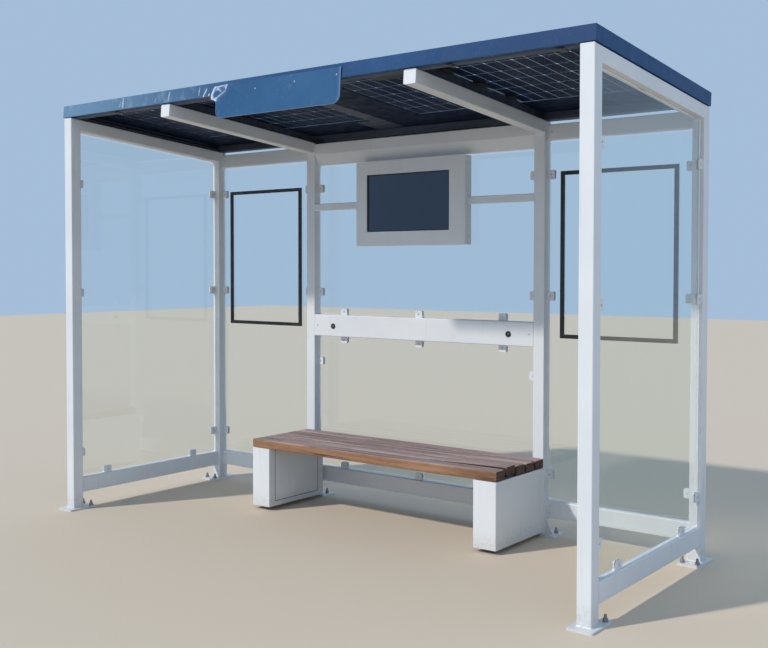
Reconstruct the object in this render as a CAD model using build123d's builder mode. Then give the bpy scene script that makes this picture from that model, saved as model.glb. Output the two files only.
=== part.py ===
from build123d import *
import os
from math import atan, cos, sin

os.makedirs("parts", exist_ok=True)

# Driving dimensions in millimetres. X runs along the shelter, Y from its open front to its back, Z up.
# The origin is the middle of the shelter's plan, on the ground.

# Welded frame of square tube
frame_length = 4116
frame_depth = 1476
front_height = 2775
roof_fall = 118
mid_post_spacing = 1960
post_size = 80
tube_wall = 4
tube_corner_radius = 6
cantilever_setback = 4
end_cap_thickness = 3

# Base plates, gussets and anchor holes
plate_thickness = 12
plate_corner_radius = 10
plate_overhang = 50
corner_plate_width = 140
corner_plate_length = 225
mid_plate_width = 250
anchor_hole_diameter = 18
corner_anchor_spacing = 90
corner_anchor_edge = 35
mid_anchor_spacing = 180
mid_anchor_edge = 45
gusset_height = 105
gusset_thickness = 8
gusset_edge_margin = 4
mid_gusset_width = 46

# Rails near the ground and back beams under the roof
rail_thickness = 50
rail_height = 110
side_rail_bottom = 108
back_rail_bottom = 118
back_beam_height = 100
back_beam_drop = 20

# Backrest rail with its two power sockets
backrest_bottom = 1214
backrest_height = 160
socket_spacing = 1510
socket_diameter = 32
socket_rim_diameter = 40
socket_rim_thickness = 3
socket_depth = 28
socket_recess = 4
socket_height = 1290

# Header beam with its sloping light cover
header_drop = 5
cover_height = 78
cover_depth = 46
cover_foot = 25
sheet_thickness = 3

# Screen in its housing, with the narrow rails beside it
housing_left = -500
housing_right = 440
housing_drop = 15
housing_height = 598
housing_depth = 75
housing_projection = 40
housing_edge_radius = 6
screen_width = 712
screen_height = 406
screen_left_margin = 98
screen_bottom_margin = 99
screen_corner_radius = 3
screen_lap = 12
screen_thickness = 32
screen_rail_rise = 271
screen_rail_height = 50
screen_rail_depth = 30

# Glass panes and their clamps
glass_thickness = 10
glass_gap = 15
clamp_width = 58
clamp_reach = 48
clamp_thickness = 28
clamp_corner_radius = 10
upper_clamp_drop = 337
middle_clamp_height = 1543
lower_clamp_height = 395
lower_pane_clamp_height = 1022
rail_clamp_offset = 412
mid_clamp_spacing = 685
seat_clearance = 0.3

# Poster frames on the back panes
poster_side_margin = 94
poster_top_margin = 186
poster_bottom = 1276
poster_bar = 25
poster_depth = 16
poster_chamfer = 2

# Bench
bench_depth = 574
bench_box_width = 163
bench_box_bottom = 27
seat_underside = 440
slat_thickness = 61
slat_width = 102
slat_count = 5
slat_edge_radius = 5
box_edge_radius = 4
hatch_side_margin = 58
hatch_bottom_margin = 34
hatch_top_margin = 14
hatch_gap = 2
hatch_lap = 10

# Roof tray with its solar modules
fascia_height = 80
fascia_gap = 5
fascia_overhang = 5
fascia_flange = 30
roof_bar_width = 40
roof_bar_height = 54
front_purlin_width = 50
side_rail_strip_height = 24
module_front_margin = 69
module_side_margin = 224
module_centre_margin = 207
rear_panel_depth = 315
laminate_thickness = 7
sheet_lap = 8
junction_box_length = 100
junction_box_width = 60
junction_box_height = 16
junction_box_count = 3
junction_box_spacing = 340
junction_box_gap = 5
junction_box_radius = 8

# Sign hung on the front fascia
sign_width = 1000
sign_offset = 15
sign_depth = 15
sign_corner_radius = 50
sign_drop = 141
sign_top_margin = 21
spacer_width = 40
spacer_height = 45
spacer_spacing = 760

# Places that follow from the driving dimensions
half_length = frame_length / 2
y_front = -frame_depth / 2
y_back = frame_depth / 2
x_corner = half_length - post_size / 2
x_mid = mid_post_spacing / 2
y_front_post = y_front + post_size / 2
y_back_post = y_back - post_size / 2
back_post_face = y_back - post_size
slope_angle = atan(roof_fall / frame_depth)
beam_drop = post_size / cos(slope_angle)
bay_inner_x = half_length - post_size
back_rail_y = y_back - rail_thickness / 2
side_rail_x = half_length - rail_thickness / 2
side_rail_top = side_rail_bottom + rail_height
back_rail_top = back_rail_bottom + rail_height
back_top = front_height - roof_fall
back_beam_bottom = back_top - back_beam_drop - back_beam_height
header_top = back_top - header_drop
header_bottom = header_top - post_size
cover_bottom = header_bottom - cover_height
housing_bottom = cover_bottom - housing_drop - housing_height
backrest_top = backrest_bottom + backrest_height
back_pane_y = back_rail_y
side_pane_x = side_rail_x


def roof_z(y):
    """Height of the frame's sloping top at the place y."""
    return front_height - roof_fall * (y - y_front) / frame_depth


def keep(part, name):
    """Name a finished piece and write it to its own file."""
    part.label = name
    export_step(part, f"parts/{name}.step")


def tube_section(width, height):
    """Section of a rolled hollow tube with round outer corners, in the sketch being drawn."""
    RectangleRounded(width, height, tube_corner_radius)
    Rectangle(width - 2 * tube_wall, height - 2 * tube_wall, mode=Mode.SUBTRACT)


def mitre_plane(y_outer, y_inner):
    """Plane of a mitred corner between a post and a sloping beam, facing the beam."""
    run = y_inner - y_outer
    rise = roof_z(y_inner) - beam_drop - roof_z(y_outer)
    facing = 1 if run > 0 else -1
    return Plane(origin=(0, y_outer, roof_z(y_outer)), x_dir=(1, 0, 0), z_dir=(0, -rise * facing, abs(run)))


front_mitre = mitre_plane(y_front, y_front + post_size)
back_mitre = mitre_plane(y_back, back_post_face)

# Six posts: square tube with a mitred top, a welded base plate with anchor holes, and gussets.
# A corner plate reaches inwards along the shelter's side, and a middle plate sideways behind the bench.


def base_plate_post(x, y, mitre, plate, anchors, gusset_sides, gusset_width):
    """One post on its base plate; plate is (centre x, centre y, width, length), anchors are points."""
    plate_x, plate_y, plate_width, plate_length = plate
    with BuildPart() as post:
        with BuildSketch(Plane.XY.offset(plate_thickness)):
            with Locations((x, y)):
                tube_section(post_size, post_size)
        extrude(amount=front_height)
        split(bisect_by=mitre, keep=Keep.BOTTOM)
        with BuildSketch(Plane.XY):
            with Locations((plate_x, plate_y)):
                RectangleRounded(plate_width, plate_length, plate_corner_radius)
            with Locations(*anchors):
                Circle(anchor_hole_diameter / 2, mode=Mode.SUBTRACT)
        extrude(amount=plate_thickness)
        for side in gusset_sides:
            foot = x + side * post_size / 2
            with BuildSketch(Plane.XZ.offset(-y)):
                with BuildLine():
                    Polyline(
                        (foot, plate_thickness),
                        (foot + side * gusset_width, plate_thickness),
                        (foot, plate_thickness + gusset_height),
                        close=True,
                    )
                make_face()
            extrude(amount=gusset_thickness / 2, both=True)
    return post.part


corner_plate_shift = corner_plate_length / 2 - plate_overhang
corner_anchor_shift = corner_plate_length - plate_overhang - corner_anchor_edge
corner_gusset_width = (corner_plate_width - post_size) / 2 - gusset_edge_margin
corner_ends = (("front", y_front, 1, front_mitre), ("back", y_back, -1, back_mitre))
for side_name, side in (("left", -1), ("right", 1)):
    for end_name, outer_y, inward, mitre in corner_ends:
        anchor_y = outer_y + inward * corner_anchor_shift
        plate_y = outer_y + inward * corner_plate_shift
        keep(
            base_plate_post(
                side * x_corner,
                outer_y + inward * post_size / 2,
                mitre,
                (side * x_corner, plate_y, corner_plate_width, corner_plate_length),
                [(side * x_corner + half * corner_anchor_spacing / 2, anchor_y) for half in (-1, 1)],
                (-side,) if end_name == "back" else (),
                corner_gusset_width,
            ),
            f"post_{end_name}_{side_name}",
        )
    mid_plate_length = post_size + plate_overhang
    mid_anchor_y = y_back + plate_overhang - mid_anchor_edge
    keep(
        base_plate_post(
            side * x_mid,
            y_back_post,
            back_mitre,
            (side * x_mid, back_post_face + mid_plate_length / 2, mid_plate_width, mid_plate_length),
            [(side * x_mid + half * mid_anchor_spacing / 2, mid_anchor_y) for half in (-1, 1)],
            (-1, 1),
            mid_gusset_width,
        ),
        f"post_middle_{side_name}",
    )

# Sloping beams: the two side beams are mitred at both ends.
# The two cantilevers are mitred to the middle posts and run out free to the front, where a plate caps each.


def slope_plane(x):
    """Section plane of a sloping beam at the middle of the shelter, facing up the slope."""
    return Plane(
        origin=(x, 0, roof_z(0) - beam_drop / 2),
        x_dir=(1, 0, 0),
        z_dir=(0, -cos(slope_angle), sin(slope_angle)),
    )


cantilever_reach = (frame_depth / 2 - cantilever_setback) / cos(slope_angle)
for side_name, side in (("left", -1), ("right", 1)):
    with BuildPart() as side_beam:
        with BuildSketch(slope_plane(side * x_corner)):
            tube_section(post_size, post_size)
        extrude(amount=frame_depth, both=True)
        split(bisect_by=front_mitre, keep=Keep.TOP)
        split(bisect_by=back_mitre, keep=Keep.TOP)
    keep(side_beam.part, f"side_beam_{side_name}")

    with BuildPart() as cantilever:
        with BuildSketch(slope_plane(side * x_mid)):
            tube_section(post_size, post_size)
        extrude(amount=cantilever_reach - end_cap_thickness)
        with BuildSketch(slope_plane(side * x_mid)):
            tube_section(post_size, post_size)
        extrude(amount=-frame_depth)
        split(bisect_by=back_mitre, keep=Keep.TOP)
        with BuildSketch(slope_plane(side * x_mid).offset(cantilever_reach - end_cap_thickness)):
            RectangleRounded(post_size, post_size, tube_corner_radius)
        extrude(amount=end_cap_thickness)
    keep(cantilever.part, f"cantilever_{side_name}")

# Level tubes. The outer bays run from a corner post to a middle post,
# and the middle bay runs between the middle posts.
left_bay = (-bay_inner_x, -x_mid - post_size / 2)
middle_bay = (-x_mid + post_size / 2, x_mid - post_size / 2)
right_bay = (x_mid + post_size / 2, bay_inner_x)

with BuildPart() as back_rails:
    for bay in (left_bay, middle_bay, right_bay):
        with BuildSketch(Plane.YZ.offset(bay[0])):
            with Locations((back_rail_y, back_rail_bottom + rail_height / 2)):
                tube_section(rail_thickness, rail_height)
        extrude(amount=bay[1] - bay[0])
keep(back_rails.part, "back_bottom_rails")

with BuildPart() as back_beams:
    for bay in (left_bay, right_bay):
        with BuildSketch(Plane.YZ.offset(bay[0])):
            with Locations((back_rail_y, back_beam_bottom + back_beam_height / 2)):
                tube_section(rail_thickness, back_beam_height)
        extrude(amount=bay[1] - bay[0])
keep(back_beams.part, "back_beams")

with BuildPart() as header:
    with BuildSketch(Plane.YZ.offset(middle_bay[0])):
        with Locations((y_back_post, header_top - post_size / 2)):
            tube_section(post_size, post_size)
    extrude(amount=middle_bay[1] - middle_bay[0])
keep(header.part, "header_beam")

for side_name, side in (("left", -1), ("right", 1)):
    with BuildPart() as side_rail:
        with BuildSketch(Plane.XZ.offset(-back_post_face)):
            with Locations((side * side_rail_x, side_rail_bottom + rail_height / 2)):
                tube_section(rail_thickness, rail_height)
        extrude(amount=back_post_face - y_front - post_size)
    keep(side_rail.part, f"side_bottom_rail_{side_name}")

# Light cover under the header: a folded sheet whose face slopes back as it goes down.
cover_back = back_post_face + cover_depth + cover_foot
with BuildPart() as light_cover:
    with BuildSketch(Plane.YZ.offset(middle_bay[0])):
        with BuildLine():
            Polyline(
                (back_post_face, header_bottom),
                (back_post_face + cover_depth, cover_bottom),
                (cover_back, cover_bottom),
                (cover_back, header_bottom),
                close=True,
            )
        make_face()
        offset(amount=-sheet_thickness, kind=Kind.INTERSECTION, mode=Mode.SUBTRACT)
    extrude(amount=middle_bay[1] - middle_bay[0])
keep(light_cover.part, "light_cover")

# Backrest rail, bored through its front wall for the two power sockets
socket_places = [(side * socket_spacing / 2, socket_height) for side in (-1, 1)]
with BuildPart() as backrest:
    with BuildSketch(Plane.YZ.offset(middle_bay[0])):
        with Locations((y_back_post, backrest_bottom + backrest_height / 2)):
            tube_section(post_size, backrest_height)
    extrude(amount=middle_bay[1] - middle_bay[0])
    with BuildSketch(Plane.XZ.offset(-back_post_face)):
        with Locations(*socket_places):
            Circle(socket_diameter / 2 + seat_clearance)
    extrude(amount=-socket_depth, mode=Mode.SUBTRACT)
keep(backrest.part, "backrest_rail")

with BuildPart() as sockets:
    with BuildSketch(Plane.XZ.offset(-back_post_face - socket_depth)):
        with Locations(*socket_places):
            Circle(socket_diameter / 2)
    extrude(amount=socket_depth + seat_clearance)
    with BuildSketch(Plane.XZ.offset(-back_post_face + seat_clearance)):
        with Locations(*socket_places):
            Circle(socket_rim_diameter / 2)
    extrude(amount=socket_rim_thickness)
    with BuildSketch(Plane.XZ.offset(-back_post_face + seat_clearance + socket_rim_thickness)):
        with Locations(*socket_places):
            Circle(socket_diameter / 2 - sheet_thickness)
    extrude(amount=-socket_recess, mode=Mode.SUBTRACT)
keep(sockets.part, "power_sockets")

# Screen housing: a hollow sheet box with the screen behind its window,
# carried by a narrow rail on each side
housing_face = back_post_face - housing_projection
housing_width = housing_right - housing_left
housing_place = ((housing_left + housing_right) / 2, housing_bottom + housing_height / 2)
screen_place = (
    housing_left + screen_left_margin + screen_width / 2,
    housing_bottom + screen_bottom_margin + screen_height / 2,
)
with BuildPart() as housing:
    with BuildSketch(Plane.XZ.offset(-housing_face)):
        with Locations(housing_place):
            RectangleRounded(housing_width, housing_height, housing_edge_radius)
    extrude(amount=-housing_depth)
    fillet(housing.faces().sort_by(Axis.Y)[0].edges(), housing_edge_radius / 2)
    with BuildSketch(Plane.XZ.offset(-housing_face - sheet_thickness)):
        with Locations(housing_place):
            Rectangle(housing_width - 2 * sheet_thickness, housing_height - 2 * sheet_thickness)
    extrude(amount=2 * sheet_thickness - housing_depth, mode=Mode.SUBTRACT)
    with BuildSketch(Plane.XZ.offset(-housing_face)):
        with Locations(screen_place):
            RectangleRounded(screen_width, screen_height, screen_corner_radius)
    extrude(amount=-2 * sheet_thickness, mode=Mode.SUBTRACT)
keep(housing.part, "screen_housing")

with BuildPart() as screen:
    with BuildSketch(Plane.XZ.offset(-housing_face - sheet_thickness - seat_clearance)):
        with Locations(screen_place):
            Rectangle(screen_width + 2 * screen_lap, screen_height + 2 * screen_lap)
    extrude(amount=-screen_thickness)
keep(screen.part, "screen")

screen_rail_y = back_post_face + screen_rail_depth / 2
screen_rail_z = housing_bottom + screen_rail_rise + screen_rail_height / 2
with BuildPart() as screen_rails:
    for start, end in ((middle_bay[0], housing_left), (housing_right, middle_bay[1])):
        with BuildSketch(Plane.YZ.offset(start)):
            with Locations((screen_rail_y, screen_rail_z)):
                tube_section(screen_rail_depth, screen_rail_height)
        extrude(amount=end - start)
keep(screen_rails.part, "screen_rails")

# Glass panes. Back panes hang between the posts, and side panes follow the slope of their beam.
upper_pane_top = cover_bottom - glass_gap
outer_pane_top = back_beam_bottom - glass_gap
for name, bay, bottom, top in (
    ("glass_back_left", left_bay, back_rail_top + glass_gap, outer_pane_top),
    ("glass_back_right", right_bay, back_rail_top + glass_gap, outer_pane_top),
    ("glass_middle_upper", middle_bay, backrest_top + glass_gap, upper_pane_top),
    ("glass_middle_lower", middle_bay, back_rail_top + glass_gap, backrest_bottom - glass_gap),
):
    with BuildPart() as back_pane:
        with BuildSketch(Plane.XZ.offset(-back_pane_y)):
            with Locations(((bay[0] + bay[1]) / 2, (bottom + top) / 2)):
                Rectangle(bay[1] - bay[0] - 2 * glass_gap, top - bottom)
        extrude(amount=glass_thickness / 2, both=True)
    keep(back_pane.part, name)

side_pane_front = y_front + post_size + glass_gap
side_pane_back = back_post_face - glass_gap
for side_name, side in (("left", -1), ("right", 1)):
    with BuildPart() as side_pane:
        with BuildSketch(Plane.YZ.offset(side * side_pane_x)):
            with BuildLine():
                Polyline(
                    (side_pane_front, side_rail_top + glass_gap),
                    (side_pane_back, side_rail_top + glass_gap),
                    (side_pane_back, roof_z(side_pane_back) - beam_drop - glass_gap),
                    (side_pane_front, roof_z(side_pane_front) - beam_drop - glass_gap),
                    close=True,
                )
            make_face()
        extrude(amount=glass_thickness / 2, both=True)
    keep(side_pane.part, f"glass_side_{side_name}")

# Glass clamps: each is a block on its carrier, slotted to take the edge of a pane.


def clamp_place(origin, along, towards):
    """Plane of a clamp in the middle of its pane, with x along the pane's edge and y into the pane."""
    return Plane(origin=origin, x_dir=along, z_dir=Vector(*along).cross(Vector(*towards)))


def glass_clamps(places):
    """Slotted blocks, one at each place."""
    slot_depth = clamp_reach - glass_gap + seat_clearance + clamp_corner_radius
    with BuildPart() as clamps:
        with BuildSketch(*places):
            with Locations((0, clamp_reach / 2)):
                RectangleRounded(clamp_width, clamp_reach, clamp_corner_radius)
            with Locations((0, clamp_reach / 4)):
                Rectangle(clamp_width, clamp_reach / 2)
        extrude(amount=clamp_thickness / 2, both=True)
        with BuildSketch(*places):
            with Locations((0, glass_gap - seat_clearance + slot_depth / 2)):
                Rectangle(clamp_width + clamp_corner_radius, slot_depth)
        extrude(amount=glass_thickness / 2 + seat_clearance, both=True, mode=Mode.SUBTRACT)
    return clamps.part


upright, across, along_side = (0, 0, 1), (1, 0, 0), (0, 1, 0)
upper_clamp_height = back_top - upper_clamp_drop
post_clamp_heights = (upper_clamp_height, middle_clamp_height, lower_clamp_height)
for side_name, side in (("left", -1), ("right", 1)):
    x = side * side_pane_x
    places = [clamp_place((x, y_front + post_size, z), upright, along_side) for z in post_clamp_heights]
    places += [clamp_place((x, back_post_face, z), upright, (0, -1, 0)) for z in post_clamp_heights]
    for y in (-rail_clamp_offset, rail_clamp_offset):
        places += [clamp_place((x, y, side_rail_top), along_side, upright)]
    keep(glass_clamps(places), f"glass_clamps_side_{side_name}")

middle_clamp_heights = (upper_clamp_height, middle_clamp_height, lower_pane_clamp_height)
places = []
bay_clamps = (
    (left_bay, post_clamp_heights),
    (middle_bay, middle_clamp_heights),
    (right_bay, post_clamp_heights),
)
for bay, heights in bay_clamps:
    places += [clamp_place((bay[0], back_pane_y, z), upright, across) for z in heights]
    places += [clamp_place((bay[1], back_pane_y, z), upright, (-1, 0, 0)) for z in heights]
for x in (-mid_clamp_spacing, 0, mid_clamp_spacing):
    places += [clamp_place((x, back_pane_y, z), across, upright) for z in (backrest_top, back_rail_top)]
    places += [clamp_place((x, back_pane_y, backrest_bottom), across, (0, 0, -1))]
keep(glass_clamps(places), "glass_clamps_back")

# Poster frames: four mitred bars on the front of each outer back pane
poster_back = back_pane_y - glass_thickness / 2 - seat_clearance
poster_height = outer_pane_top - poster_top_margin - poster_bottom
for side_name, bay in (("left", left_bay), ("right", right_bay)):
    poster_width = bay[1] - bay[0] - 2 * poster_side_margin
    poster_place = ((bay[0] + bay[1]) / 2, poster_bottom + poster_height / 2)
    with BuildPart() as poster_frame:
        with BuildSketch(Plane.XZ.offset(-poster_back)):
            with Locations(poster_place):
                Rectangle(poster_width, poster_height)
                Rectangle(poster_width - 2 * poster_bar, poster_height - 2 * poster_bar, mode=Mode.SUBTRACT)
        extrude(amount=poster_depth)
        front_edges = poster_frame.faces().sort_by(Axis.Y)[0].edges()
        chamfer(front_edges, poster_chamfer)
    keep(poster_frame.part, f"poster_frame_{side_name}")

# Bench: timber slats across two folded steel boxes, which are bolted to the front of the middle posts
bench_end = x_mid + post_size / 2
bench_back = back_post_face - seat_clearance
bench_front = bench_back - bench_depth
slat_gap = (bench_depth - slat_count * slat_width) / (slat_count - 1)
box_height = seat_underside - bench_box_bottom
box_y = (bench_front + bench_back) / 2
hatch_width = bench_depth - 2 * hatch_side_margin
hatch_height = box_height - hatch_bottom_margin - hatch_top_margin
hatch_place = (box_y, bench_box_bottom + hatch_bottom_margin + hatch_height / 2)
hatch_face = -bench_end + bench_box_width
for side_name, side in (("left", -1), ("right", 1)):
    with BuildPart() as bench_box:
        with BuildSketch(Plane.XY.offset(bench_box_bottom)):
            with Locations((side * (bench_end - bench_box_width / 2), box_y)):
                RectangleRounded(bench_box_width, bench_depth, box_edge_radius)
        extrude(amount=box_height)
        offset(amount=-sheet_thickness, openings=bench_box.faces().sort_by(Axis.Z)[0])
        if side_name == "left":
            with BuildSketch(Plane.YZ.offset(hatch_face)):
                with Locations(hatch_place):
                    Rectangle(hatch_width, hatch_height)
            extrude(amount=-2 * sheet_thickness, mode=Mode.SUBTRACT)
    keep(bench_box.part, f"bench_box_{side_name}")

with BuildPart() as service_cover:
    with BuildSketch(Plane.YZ.offset(hatch_face)):
        with Locations(hatch_place):
            Rectangle(hatch_width - 2 * hatch_gap, hatch_height - 2 * hatch_gap)
    extrude(amount=-sheet_thickness - seat_clearance)
    with BuildSketch(Plane.YZ.offset(hatch_face - sheet_thickness - seat_clearance)):
        with Locations(hatch_place):
            Rectangle(hatch_width + 2 * hatch_lap, hatch_height + 2 * hatch_lap)
            Rectangle(hatch_width - 4 * hatch_lap, hatch_height - 4 * hatch_lap, mode=Mode.SUBTRACT)
    extrude(amount=-sheet_thickness)
keep(service_cover.part, "bench_service_cover")

with BuildPart() as slats:
    for number in range(slat_count):
        slat_y = bench_front + slat_width / 2 + number * (slat_width + slat_gap)
        with BuildSketch(Plane.YZ.offset(-bench_end)):
            with Locations((slat_y, seat_underside + slat_thickness / 2)):
                RectangleRounded(slat_width, slat_thickness, slat_edge_radius)
        extrude(amount=2 * bench_end)
keep(slats.part, "bench_slats")

# Roof tray, drawn square in the plane of the frame's sloping top: y runs down the slope, z out of the roof.
roof_plane = Plane(origin=(0, 0, roof_z(0)), x_dir=(1, 0, 0), z_dir=(0, sin(slope_angle), cos(slope_angle)))
tray_half_length = half_length + fascia_overhang
tray_half_depth = frame_depth / cos(slope_angle) / 2 + fascia_overhang
bar_half_length = tray_half_length - fascia_flange - seat_clearance
bar_half_depth = tray_half_depth - fascia_flange - seat_clearance
rear_purlin_front = bar_half_depth - roof_bar_width
front_purlin_back = -bar_half_depth + front_purlin_width


def roof_bar(start, direction, across, width, height, length):
    """One rolled tube of the roof tray; start is the middle of its end, in the roof plane."""
    with BuildPart() as bar:
        with BuildSketch(Plane(origin=start, x_dir=across, z_dir=direction)):
            tube_section(width, height)
        extrude(amount=length)
    return bar.part


# Front and rear purlins run the whole length. Between them a rafter stands on each cantilever,
# and a low rail lies on each side beam.
rafter_start = front_purlin_back + seat_clearance
rafter_length = rear_purlin_front - front_purlin_back - 2 * seat_clearance
side_strip_x = bar_half_length - roof_bar_width / 2
with BuildPart() as roof_bars:
    for y, width in (
        (-bar_half_depth + front_purlin_width / 2, front_purlin_width),
        (bar_half_depth - roof_bar_width / 2, roof_bar_width),
    ):
        bar_end = roof_plane.from_local_coords(Vector(-bar_half_length, y, roof_bar_height / 2))
        bar_length = 2 * bar_half_length
        add(roof_bar(bar_end, roof_plane.x_dir, roof_plane.y_dir, width, roof_bar_height, bar_length))
    for x, height in (
        (-side_strip_x, side_rail_strip_height),
        (-x_mid, roof_bar_height),
        (x_mid, roof_bar_height),
        (side_strip_x, side_rail_strip_height),
    ):
        bar_end = roof_plane.from_local_coords(Vector(x, rafter_start, height / 2))
        add(roof_bar(bar_end, roof_plane.y_dir, roof_plane.x_dir, roof_bar_width, height, rafter_length))
keep(roof_bars.part, "roof_bars")

# Dark sheets close the roof around the modules and lap under their edges
module_length = bar_half_length - module_side_margin - module_centre_margin
module_x = module_centre_margin + module_length / 2
module_front = -bar_half_depth + module_front_margin
module_back = bar_half_depth - rear_panel_depth
front_sheet_back = module_front + sheet_lap
rear_sheet_front = module_back - sheet_lap
strip_length = rear_sheet_front - front_sheet_back - 2 * seat_clearance
side_sheet_width = module_side_margin + sheet_lap
sheets_plane = roof_plane.offset(roof_bar_height + seat_clearance)
with BuildPart() as sheets:
    with BuildSketch(sheets_plane):
        for y_start, y_end in ((-bar_half_depth, front_sheet_back), (rear_sheet_front, bar_half_depth)):
            with Locations((0, (y_start + y_end) / 2)):
                Rectangle(2 * bar_half_length, y_end - y_start)
        for x, width in (
            (side_sheet_width / 2 - bar_half_length, side_sheet_width),
            (0, 2 * (module_centre_margin + sheet_lap)),
            (bar_half_length - side_sheet_width / 2, side_sheet_width),
        ):
            with Locations((x, (front_sheet_back + rear_sheet_front) / 2)):
                Rectangle(width, strip_length)
    extrude(amount=sheet_thickness)
keep(sheets.part, "roof_sheets")

# Two glass laminates full of cells. A row of junction boxes is glued under the middle of each,
# just outside the rafter.
module_y = (module_front + module_back) / 2
junction_box_x = x_mid + roof_bar_width / 2 + junction_box_gap + junction_box_width / 2
laminate_plane = sheets_plane.offset(sheet_thickness + seat_clearance)
with BuildPart() as modules:
    with BuildSketch(laminate_plane):
        with Locations((-module_x, module_y), (module_x, module_y)):
            Rectangle(module_length, module_back - module_front)
    extrude(amount=laminate_thickness)
keep(modules.part, "solar_modules")

with BuildPart() as junction_boxes:
    with BuildSketch(laminate_plane.offset(-seat_clearance)):
        for x in (-junction_box_x, junction_box_x):
            with Locations((x, module_y)):
                with GridLocations(junction_box_spacing, junction_box_spacing, 1, junction_box_count):
                    RectangleRounded(junction_box_width, junction_box_length, junction_box_radius)
    extrude(amount=-junction_box_height)
keep(junction_boxes.part, "junction_boxes")

# Fascias: folded channels with their web outwards, mitred where two of them meet at a corner
fascia_section = [
    (-fascia_flange, 0),
    (0, 0),
    (0, fascia_height),
    (-fascia_flange, fascia_height),
    (-fascia_flange, fascia_height - sheet_thickness),
    (-sheet_thickness, fascia_height - sheet_thickness),
    (-sheet_thickness, sheet_thickness),
    (-fascia_flange, sheet_thickness),
]
for name, turn, half_span, place in (
    ("fascia_back", 0, tray_half_length, tray_half_depth),
    ("fascia_left", 90, tray_half_depth, tray_half_length),
    ("fascia_front", 180, tray_half_length, tray_half_depth),
    ("fascia_right", 270, tray_half_depth, tray_half_length),
):
    edge_plane = Plane(roof_plane.location * Location((0, 0, 0), (0, 0, turn)))
    start = edge_plane.from_local_coords(Vector(-half_span, place, fascia_gap))
    with BuildPart() as fascia:
        with BuildSketch(Plane(origin=start, x_dir=edge_plane.y_dir, z_dir=edge_plane.x_dir)):
            with BuildLine():
                Polyline(*fascia_section, close=True)
            make_face()
        extrude(amount=2 * half_span)
        for end in (-1, 1):
            corner = edge_plane.from_local_coords(Vector(end * half_span, place, 0))
            outwards = edge_plane.x_dir * end - edge_plane.y_dir
            mitre = Plane(origin=corner, x_dir=edge_plane.z_dir, z_dir=outwards)
            split(bisect_by=mitre.offset(-seat_clearance / 2), keep=Keep.BOTTOM)
    keep(fascia.part, name)

# Sign: a shallow tray of folded sheet with round lower corners, bolted to the fascia through two inner bars
sign_height = sign_drop + fascia_gap + fascia_height - sign_top_margin
sign_back = roof_plane.from_local_coords(
    Vector(sign_offset, -tray_half_depth - seat_clearance, sign_height / 2 - sign_drop)
)
sign_plane = Plane(origin=sign_back, x_dir=roof_plane.x_dir, z_dir=-roof_plane.y_dir)
spacer_z = sign_drop - sign_height / 2 + fascia_gap + spacer_height / 2
with BuildPart() as sign:
    with BuildSketch(sign_plane):
        sheet = Rectangle(sign_width, sign_height)
        fillet(sheet.vertices().group_by(Axis.Y)[0], sign_corner_radius)
    extrude(amount=sign_depth)
    back_face = sign.faces().sort_by(Axis(sign_back, roof_plane.y_dir))[-1]
    offset(amount=-sheet_thickness, openings=back_face)
    with BuildSketch(sign_plane):
        with Locations((-spacer_spacing / 2, spacer_z), (spacer_spacing / 2, spacer_z)):
            Rectangle(spacer_width, spacer_height)
    extrude(amount=sign_depth - sheet_thickness)
keep(sign.part, "sign_plate")
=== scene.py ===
# %% [markdown]
# # Dressing a bus shelter
# The shelter's tubes, glass, bench and roof come in as a measured model, and this lesson gives them
# their looks: paint, glass, timber and solar cells, and the small things that a welder, a glazier and
# a joiner leave behind, such as bolts, weld beads and screws.
# Everything is in metres, in the shelter's own frame: X along it, Y from its open front to its back, Z up.

import math
import random

import bmesh
import bpy
from mathutils import Matrix, Vector


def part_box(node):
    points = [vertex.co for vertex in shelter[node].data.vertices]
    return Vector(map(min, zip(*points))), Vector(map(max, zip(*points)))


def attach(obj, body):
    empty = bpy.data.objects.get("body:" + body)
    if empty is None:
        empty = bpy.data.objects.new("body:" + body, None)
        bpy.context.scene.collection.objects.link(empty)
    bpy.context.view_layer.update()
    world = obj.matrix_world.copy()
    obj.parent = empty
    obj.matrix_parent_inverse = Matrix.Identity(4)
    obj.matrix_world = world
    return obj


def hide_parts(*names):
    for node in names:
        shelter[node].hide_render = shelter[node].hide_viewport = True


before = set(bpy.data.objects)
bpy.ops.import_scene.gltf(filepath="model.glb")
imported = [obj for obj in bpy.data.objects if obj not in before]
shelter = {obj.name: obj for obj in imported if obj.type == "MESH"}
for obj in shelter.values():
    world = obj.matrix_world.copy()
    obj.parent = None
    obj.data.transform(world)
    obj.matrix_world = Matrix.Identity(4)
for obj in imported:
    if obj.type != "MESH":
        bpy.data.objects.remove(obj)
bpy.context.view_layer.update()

# %% [markdown]
# ## The photographer's place
# A shelter this long is best seen from beyond its right end, at eye height, a little turned towards
# the bench. The lens is as long as the one that took the picture, and the shift moves the frame a
# little without turning the camera, so the posts stay upright.


# %% Camera
def into_scene(name, data):
    """Put a camera, a lamp or a mesh into the scene."""
    thing = bpy.data.objects.new(name, data)
    bpy.context.scene.collection.objects.link(thing)
    return thing


photo_camera = into_scene("photo_camera", bpy.data.cameras.new("photo_camera"))
photo_camera.location = (4.2301, -5.1164, 1.7122)
photo_camera.rotation_euler = (math.radians(90 - 1.63), math.radians(-0.08), math.radians(37.1))
photo_camera.data.lens = 48.06
photo_camera.data.shift_x = -0.02034
photo_camera.data.shift_y = -0.03303
bpy.context.scene.camera = photo_camera
print("camera to bench:", round((photo_camera.location - Vector((0, 0.4, 0.5))).length, 2), "m")

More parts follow.
